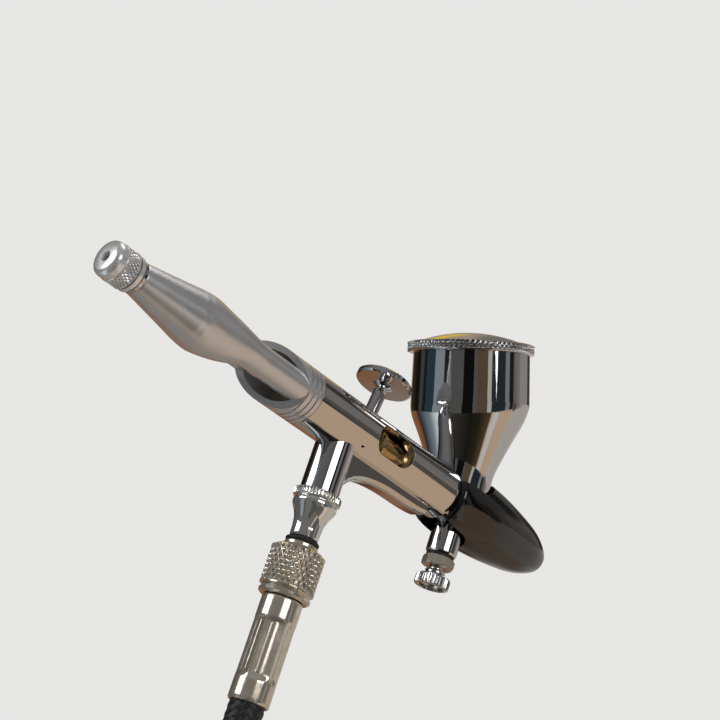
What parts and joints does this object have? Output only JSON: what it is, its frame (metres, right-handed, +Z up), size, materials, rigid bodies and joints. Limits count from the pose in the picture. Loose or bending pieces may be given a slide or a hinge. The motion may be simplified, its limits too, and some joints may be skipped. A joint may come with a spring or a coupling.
{
  "type": "airbrush gun",
  "caption": "Gravity-feed airbrush: chrome barrel with leaning paint cup, thumb-button trigger, cutaway handle with preset knob, air valve with hose end and black nose cap.",
  "frame": {"origin": "where the air-valve axis meets the barrel axis", "axes": "+X along the barrel towards the nozzle, +Z up towards the trigger, -Z down the air valve"},
  "size_m": [0.1448, 0.0284, 0.1246],
  "materials": {
    "chrome": "mirror-bright plating",
    "nickel": "warm bright nickel plating",
    "satin_aluminium": "satin bead-blasted",
    "needle_steel": "ground and polished",
    "spring_steel": "plain drawn wire",
    "brass": "machined",
    "rubber": "matt",
    "ptfe": "waxy white",
    "black_gloss": "polished black",
    "hose_cloth": "glossy black braid"
  },
  "bodies": {
    "body": {"main_body": "chrome", "air_passage_plug": "chrome", "needle_spring": "spring_steel", "spring_case": "brass", "packing_housing": "brass", "needle_packing": "ptfe", "packing_screw": "brass", "lever_pin": "spring_steel", "valve_spring": "spring_steel", "valve_retainer": "brass", "valve_casing": "nickel", "neck_o_ring": "rubber", "hose_stem": "brass", "hose_washer": "ptfe", "ferrule": "nickel", "hose_liner": "rubber", "hose_braid": "hose_cloth", "mac_housing": "chrome", "mac_o_ring": "rubber", "mac_gland_nut": "nickel", "paint_cup": "chrome", "head_seal": "ptfe", "fluid_head": "chrome", "fluid_nozzle": "brass", "nozzle_cap": "chrome", "needle_cap": "chrome", "handle": "satin_aluminium", "tail_collar": "chrome"},
    "needle_group": {"needle": "needle_steel", "needle_chuck_guide": "brass", "needle_chuck_nut": "brass"},
    "plunger_group": {"valve_plunger": "brass", "valve_seal": "rubber"},
    "trigger_group": {"trigger": "chrome"},
    "lever_group": {"auxiliary_lever": "spring_steel"},
    "hose_nut_group": {"hose_nut": "nickel"},
    "mac_seal_group": {"mac_stem_seal": "rubber"},
    "mac_screw_group": {"mac_screw": "nickel"},
    "lid_group": {"cup_lid": "chrome"},
    "nose_cap_group": {"nose_cap": "black_gloss"},
    "preset_seal_group": {"preset_o_ring": "rubber"},
    "preset_group": {"preset_knob": "satin_aluminium", "knob_grub_screw": "spring_steel", "preset_stem": "brass"}
  },
  "joints": [
    {"name": "trigger_press", "type": "slide", "parent": "body", "child": "plunger_group", "axis": [0, 0, -1], "range_m": [0, 0.002], "deforming": ["valve_spring"]},
    {"name": "trigger_pull", "type": "hinge", "parent": "plunger_group", "child": "trigger_group", "pos_m": [0.0056, 0, -0.0028], "axis": [0, -1, 0], "range_deg": [0, 24]},
    {"name": "needle_slide", "type": "slide", "parent": "body", "child": "needle_group", "axis": [-1, 0, 0], "range_m": [0, 0.0026], "deforming": ["needle_spring"]},
    {"name": "lever_swing", "type": "hinge", "parent": "body", "child": "lever_group", "pos_m": [0.003, 0, -0.0034], "axis": [0, -1, 0], "range_deg": [0, 20]},
    {"name": "preset_turn", "type": "hinge", "parent": "preset_seal_group", "child": "preset_group", "pos_m": [-0.064, 0, 0], "axis": [1, 0, 0], "range_deg": [-720, 0]},
    {"name": "preset_advance", "type": "slide", "parent": "body", "child": "preset_seal_group", "axis": [1, 0, 0], "range_m": [-0.0015, 0]},
    {"name": "mac_turn", "type": "hinge", "parent": "mac_seal_group", "child": "mac_screw_group", "pos_m": [0.0415, 0, -0.018], "axis": [0, 0, 1], "range_deg": [-720, 360]},
    {"name": "mac_advance", "type": "slide", "parent": "body", "child": "mac_seal_group", "axis": [0, 0, 1], "range_m": [-0.001, 0.0005]},
    {"name": "hose_nut_swivel", "type": "hinge", "parent": "body", "child": "hose_nut_group", "pos_m": [0, 0, -0.034], "axis": [0, 0, 1], "continuous": true},
    {"name": "lid_lift", "type": "slide", "parent": "body", "child": "lid_group", "axis": [-0.3859, 0, 0.9225], "range_m": [0, 0.012]},
    {"name": "nose_cap_pull", "type": "slide", "parent": "body", "child": "nose_cap_group", "axis": [1, 0, 0], "range_m": [0, 0.045]}
  ],
  "couplings": [
    {"joint": "trigger_pull", "follows": "needle_slide", "rad_per_m": 161.11},
    {"joint": "lever_swing", "follows": "needle_slide", "rad_per_m": 134.26},
    {"joint": "preset_turn", "follows": "preset_advance", "rad_per_m": 8377.6},
    {"joint": "mac_turn", "follows": "mac_advance", "rad_per_m": 12566}
  ]
}
